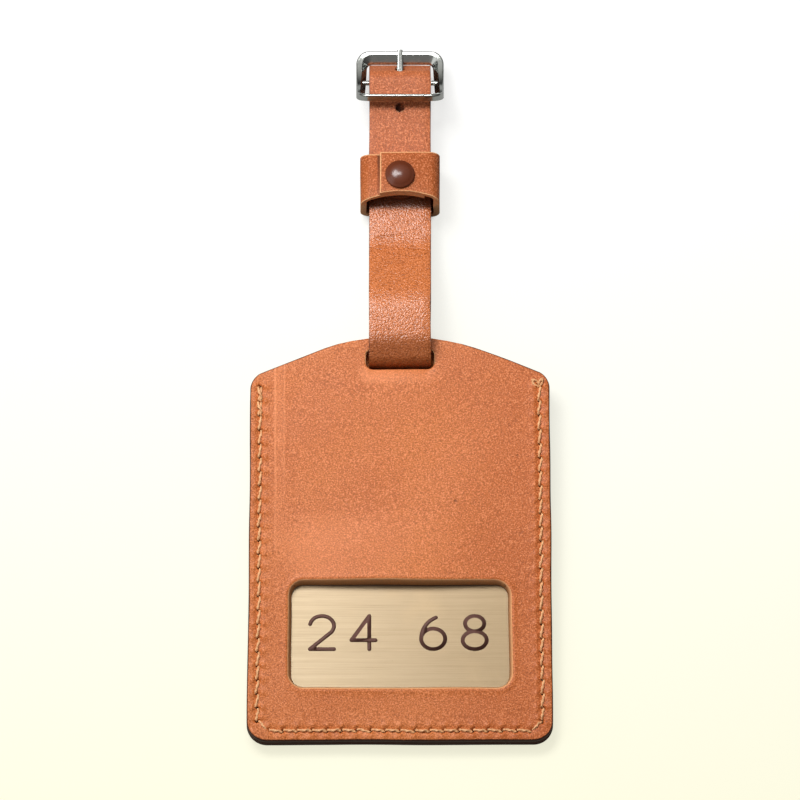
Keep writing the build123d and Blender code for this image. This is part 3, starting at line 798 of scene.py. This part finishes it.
# Painted shade: the brass turns darker towards the right.
brass_right_shade = (right + (tarnish - 0.5) * 0.01).step(-0.032, 0.034)
window_edge_shadow = (beyond + (tarnish - 0.5) * 0.001).step(-0.0510, -0.0482)  # painted shadow under the window's top edge; it rides with the plate
brass_tone = brass.mix(streaks.step(0.3, 0.7) * 0.5, (0.455, 0.360, 0.240), (0.36, 0.280, 0.178))
brass_tone = brass.mix(hairs.step(0.50, 0.72) * 0.5, brass_tone, (0.28, 0.210, 0.125))
brass_tone = brass.mix(brass_right_shade * 0.70, brass_tone, (0.27, 0.195, 0.110))
brass_tone = brass.mix(tarnish.step(0.5, 0.8) * 0.25, brass_tone, (0.55, 0.40, 0.23))
brass_tone = brass.mix(window_edge_shadow * 0.75, brass_tone, (0.13, 0.075, 0.040))
brass_tone = brass.mix(specks * 0.8, brass_tone, (0.10, 0.05, 0.03))
brushed_brass = brass.use(
    Base_Color=brass_tone, Roughness=hairs * 0.25 + 0.40,
    Normal=brass.relief(hairs + streaks * 0.5, 0.000016),
)
plate = piece(engraved, "brass_plate", "plate", [brushed_brass], ["name_plate"], pouch_place)
for polygon in plate.data.polygons:
    polygon.use_smooth = False

fill_depth = 0.00003
everything = number_fill.verts[:] + number_fill.edges[:] + number_fill.faces[:]
bmesh.ops.bisect_plane(
    number_fill, geom=everything, dist=1e-7,
    plane_co=(0, 0, -fill_depth), plane_no=(0, 0, 1), clear_outer=True,
)
bmesh.ops.holes_fill(number_fill, edges=[edge for edge in number_fill.edges if edge.is_boundary])
bmesh.ops.triangulate(number_fill, faces=number_fill.faces[:])
bmesh.ops.translate(number_fill, verts=number_fill.verts[:], vec=plate_face)
filler = Finish("number_paint")
crumbs = filler.noise(1500.0, detail=3.0)
number_paint = filler.use(
    Base_Color=filler.mix(crumbs, (0.085, 0.034, 0.024), (0.15, 0.062, 0.045)),
    Roughness=crumbs * 0.3 + 0.5, Normal=filler.relief(crumbs, 0.00006),
)
piece(number_fill, "plate_number", "plate", [number_paint], [], pouch_place)

# ---------------------------------------------------------------------------------------------
# Strap: one strip of pebbled cowhide that runs from its tip under the keeper, over the buckle's
# bar, back under itself, through the pouch's slot and round to the fold on the same bar.
# ---------------------------------------------------------------------------------------------
strap_marks = [  # the hole's shade, and creases across the crest
    ((0.0, 0.07293), (0.0001, 0.07293), 0.00160, 1.50, 0.0),
    ((-0.0060, 0.0402), (0.0010, 0.0409), 0.00030, 0.12, -0.8),
    ((0.0020, 0.0371), (0.0068, 0.0366), 0.00026, 0.12, -0.8),
]
for height, reach, darkness in ((0.0085, 0.0055, 0.30), (0.0492, 0.0022, 0.80)):
    # Painted shade right across the strap, where it dives into the slot and at the keeper's rim.
    strap_marks.append(((-0.0075, height), (0.0075, height), reach, darkness, 0.0))
    strap_marks.append(((0.0075, height), (-0.0075, height), reach, darkness, 0.0))
strap_pale, strap_deep = (0.60, 0.172, 0.040), (0.44, 0.106, 0.022)
strap_tan = tanned_leather("strap_tan", strap_pale, strap_deep, 0.00040, 0.00018, 0.76, 0.52, strap_marks)


def worked_copy(node, edge_bevel, cell, flat=0.004):
    """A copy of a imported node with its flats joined, its long edges eased and its faces divided."""
    mesh = bmesh.new()
    mesh.from_mesh(frame["nodes"][node].data)
    for layer in list(mesh.loops.layers.float_vector):
        mesh.loops.layers.float_vector.remove(layer)
    bmesh.ops.remove_doubles(mesh, verts=mesh.verts[:], dist=1e-6)
    bmesh.ops.dissolve_limit(mesh, angle_limit=flat, verts=mesh.verts[:], edges=mesh.edges[:])
    rim = [edge for edge in mesh.edges if edge.calc_face_angle(0) > 1.0]
    bmesh.ops.bevel(
        mesh, geom=rim, offset=edge_bevel, offset_type="OFFSET", segments=2, profile=0.5,
        material=-1, affect="EDGES", clamp_overlap=True,
    )
    bmesh.ops.triangulate(mesh, faces=mesh.faces[:])
    low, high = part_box(node)
    for axis in (Vector((1, 0, 0)), Vector((0, 1, 0)), Vector((0, 0, 1))):
        count = int((high - low).dot(axis) / cell)
        for step in range(1, count):
            bmesh.ops.bisect_plane(
                mesh, geom=mesh.verts[:] + mesh.edges[:] + mesh.faces[:], dist=1e-7,
                plane_co=low + axis * cell * step, plane_no=axis,
            )
    bmesh.ops.triangulate(mesh, faces=mesh.faces[:])
    return mesh


def mark_cut(mesh, from_edge, edge="raw"):
    """Marks the cut edges of a strip as raw or paint, given how far a point is from the nearest."""
    names = (edge, "across", "along")
    cut, across, along = (mesh.verts.layers.float.new(name) for name in names)
    for vert in mesh.verts:
        vert[cut] = max(0, 1 - max(0, from_edge(vert.co)) / edge_reach)
        vert[across], vert[along] = vert.co.x, vert.co.y


strap_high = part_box("strap")[1]
strap = worked_copy("strap", 0.00028, 0.0016)
paint_gap = 0.0002  # leaves the line of paint on the strap's face thin
mark_cut(strap, lambda at: strap_high.x - abs(at.x) + paint_gap, "paint")
for vert in strap.verts:
    vert.co += wander(vert.co, 0.014, 0.00016)
piece(strap, "strap_leather", "strap", [strap_tan], ["strap"])

# ---------------------------------------------------------------------------------------------
# Thread of the fold: four stitches through the skived end of the strap, behind the buckle. They
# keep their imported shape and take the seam's waxed thread.
# ---------------------------------------------------------------------------------------------
frame["nodes"]["fold_stitches"].data.materials.clear()
frame["nodes"]["fold_stitches"].data.materials.append(thread_tan)

# ---------------------------------------------------------------------------------------------
# Keeper: a band of the same leather round both runs of the strap, its end lapped in front. Wear
# has arched the lower rim of its two front layers.
# ---------------------------------------------------------------------------------------------
keeper_low, keeper_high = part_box("keeper_band")
keeper_middle = (keeper_low + keeper_high) / 2
layers_from = 0.002  # the two lapped layers lie this far and more above the band's middle
keeper_arch = 0.0019  # how far the lower rim has risen in its middle
arch_run = 0.006
keeper_dome = 0.0004
flap_end = -0.0049
flap_depth = 0.0016
keeper_marks = [  # the line of shade beside the flap's end
    ((flap_end - 0.00030, keeper_high.y), (flap_end - 0.00028, keeper_low.y), 0.00045, 1.00, 0.0),
]
keeper_pale, keeper_deep = [c * 0.90 for c in strap_pale], [c * 0.90 for c in strap_deep]
keeper_tan = tanned_leather(
    "keeper_tan", keeper_pale, keeper_deep, 0.00034, 0.00012, 0.62, 0.25, keeper_marks,
)
keeper = worked_copy("keeper_band", 0.0003, 0.0012)


def keeper_cut(at):
    """How far a point of the keeper is from its cut rims and from the flap's end."""
    from_rim = (keeper_high.y - keeper_low.y) / 2 - abs(at.y - keeper_middle.y)
    in_flap = at.z > keeper_high.z - flap_depth
    return min(from_rim, at.x - flap_end) if in_flap else from_rim


mark_cut(keeper, keeper_cut)
for vert in keeper.verts:
    share = abs(vert.co.x) / keeper_high.x
    if vert.co.z > keeper_middle.z + layers_from:
        vert.co.y += keeper_arch * (1 - share**2) * max(0, keeper_middle.y - vert.co.y) / arch_run
        vert.co.z += keeper_dome * (1 - share**2)
    vert.co += wander(vert.co, 0.010, 0.00014)
piece(keeper, "keeper_leather", "keeper", [keeper_tan], ["keeper_band"])

# ---------------------------------------------------------------------------------------------
# Rivet: a pressed steel cap, domed and coated in brown enamel. It stands on the flap, which the
# keeper's arch lifts a little.
# ---------------------------------------------------------------------------------------------
enamel = Finish("brown_enamel", Specular_IOR_Level=0.45)
dust = enamel.noise(500.0, detail=3.0)
rivet_brown = enamel.use(
    Base_Color=enamel.mix(dust, (0.098, 0.020, 0.006), (0.130, 0.028, 0.009)), Roughness=dust * 0.12 + 0.18,
)
cap_low, cap_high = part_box("keeper_rivet_cap")
cap_middle = (cap_low + cap_high) / 2
cap_radius = (cap_high.x - cap_low.x) / 2
cap_height = cap_high.z - cap_low.z
cap_rim = 0.00038
cap = bmesh.new()
profile = [(cap_radius - 0.0006, 0.0), (cap_radius - 0.0001, 0.0)]
for angle in (-45, 0, 35, 65):
    turn = math.radians(angle)
    profile.append((cap_radius - cap_rim + cap_rim * math.cos(turn), cap_rim + cap_rim * math.sin(turn)))
dome_edge = 1.15
dome_low = cap_rim * 1.9
for share in (1.05, 0.95, 0.8, 0.65, 0.5, 0.35, 0.2, 0.1, 0.0):
    height = (math.cos(share) - math.cos(dome_edge)) / (1 - math.cos(dome_edge))
    profile.append((
        (cap_radius - cap_rim * 0.5) * math.sin(share), dome_low + (cap_height - dome_low) * height,
    ))
points = [cap.verts.new((cap_middle.x + x, cap_middle.y, cap_low.z + keeper_dome + z)) for x, z in profile]
for first, second in zip(points, points[1:]):
    cap.edges.new((first, second))
bmesh.ops.spin(
    cap, geom=cap.verts[:] + cap.edges[:], cent=(cap_middle.x, cap_middle.y, 0), axis=(0, 0, 1),
    angle=2 * math.pi, steps=64, use_merge=True,
)
bmesh.ops.remove_doubles(cap, verts=cap.verts[:], dist=1e-6)
bmesh.ops.holes_fill(cap, edges=[edge for edge in cap.edges if edge.is_boundary])
bmesh.ops.recalc_face_normals(cap, faces=cap.faces[:])
piece(cap, "rivet_cap", "keeper", [rivet_brown], ["keeper_rivet_cap"])

# ---------------------------------------------------------------------------------------------
# Buckle: frame, centre bar and prong, all nickel-plated with a satin finish, as is the plain
# post under the rivet's cap.
# ---------------------------------------------------------------------------------------------
steel = Finish("satin_nickel", Metallic=1.0)
satin = steel.noise(700.0, detail=4.0, roughness=0.6)
scuffs = steel.noise(1.0, detail=3.0, spot=steel.place(scale=(300, 3000, 3000)))
satin_nickel = steel.use(
    Base_Color=steel.mix(satin, (0.36, 0.38, 0.36), (0.50, 0.51, 0.49)),
    Roughness=scuffs * 0.14 + 0.10, Normal=steel.relief(scuffs, 0.00001),
)
for node in ("keeper_rivet_post", "buckle_frame", "buckle_bar", "buckle_prong"):
    frame["nodes"][node].data.materials.clear()
    frame["nodes"][node].data.materials.append(satin_nickel)

# ---------------------------------------------------------------------------------------------
# Studio: a pale sweep, white behind the buckle and cream in front, three soft lamps and a sky
# that is brighter on the left and beyond the buckle.
# ---------------------------------------------------------------------------------------------
low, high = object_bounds()
middle = (low + high) / 2
floor_mesh = bmesh.new()
bmesh.ops.create_grid(floor_mesh, x_segments=2, y_segments=2, size=1.5)
floor_data = bpy.data.meshes.new("floor")
floor_mesh.to_mesh(floor_data)
floor_mesh.free()
floor = bpy.data.objects.new("floor", floor_data)
bpy.context.scene.collection.objects.link(floor)
paper = Finish("paper", Roughness=0.9)
reach = paper.parts(paper.place())[1]
cream = paper.mix(reach.step(low.y - 0.06, high.y + 0.03), (1.0, 0.98, 0.76), (1.0, 1.0, 1.0))
# Painted shade on the floor: its glow turns near black where the tag hems it in, under the tag and through
# its slot.
open_sky = paper.node("ShaderNodeAmbientOcclusion", {"samples": 8}, {"Distance": 0.02}, output="AO")
shown = paper.mix(open_sky.step(0.10, 0.38), (0.03, 0.015, 0.01), cream)
seen = paper.node("ShaderNodeLightPath", output="Is Camera Ray")
seen = seen.math("MAXIMUM", paper.node("ShaderNodeLightPath", output="Is Transmission Ray"))
seen = seen * 0.76 + paper.node("ShaderNodeLightPath", output="Is Glossy Ray") * 0.22
paper.feed(paper.shader.inputs["Emission Strength"], seen)
dimmed = paper.mix(0.76, cream, (0.0, 0.0, 0.0))
floor.data.materials.append(paper.use(Base_Color=dimmed, Emission_Color=shown))

world = bpy.data.worlds.new("studio")
bpy.context.scene.world = world
sky = Network(world)
right, beyond, above = sky.parts(sky.node("ShaderNodeTexCoord", output="Generated"))
brightness = above.step(0.05, 0.95) * (beyond.step(-0.6, 0.9) * 0.50 - right * 0.26 + 0.30) + 0.03
sky.feed(sky.tree.nodes["Background"].inputs["Strength"], brightness)
sky.tree.nodes["Background"].inputs["Color"].default_value = (1.0, 0.985, 0.96, 1)


def lamp(name, azimuth, elevation, distance, size, power):
    """A square softbox that faces the tag. Azimuth 0 is beyond the buckle, 90 to the right."""
    light = bpy.data.lights.new(name, "AREA")
    light.shape, light.size, light.energy = "SQUARE", size, power
    made = bpy.data.objects.new(name, light)
    turn, lift = math.radians(azimuth), math.radians(elevation)
    way = Vector((math.sin(turn) * math.cos(lift), math.cos(turn) * math.cos(lift), math.sin(lift)))
    made.location = middle + way * distance
    made.rotation_euler = way.to_track_quat("Z", "Y").to_euler()
    bpy.context.scene.collection.objects.link(made)


lamp("key", azimuth=-40, elevation=60, distance=0.50, size=0.20, power=1.9)
lamp("gloss", azimuth=-3, elevation=65.3, distance=0.31, size=0.05, power=0.16)
lamp("fill", azimuth=-100, elevation=40, distance=0.8, size=0.5, power=0.8)

camera_elevation = math.radians(69.5)
camera_distance = 4.5
view_width = 0.1938924
lens = bpy.data.cameras.new("camera")
lens.lens = lens.sensor_width * camera_distance / view_width
camera = bpy.data.objects.new("camera", lens)
aim = Vector((0, low.y + 0.0890, 0.0))
away = Vector((0, -math.cos(camera_elevation), math.sin(camera_elevation)))
camera.location = aim + away * camera_distance
camera.rotation_euler = away.to_track_quat("Z", "Y").to_euler()
bpy.context.scene.collection.objects.link(camera)
bpy.context.scene.camera = camera
bpy.context.scene.view_settings.view_transform = "Standard"
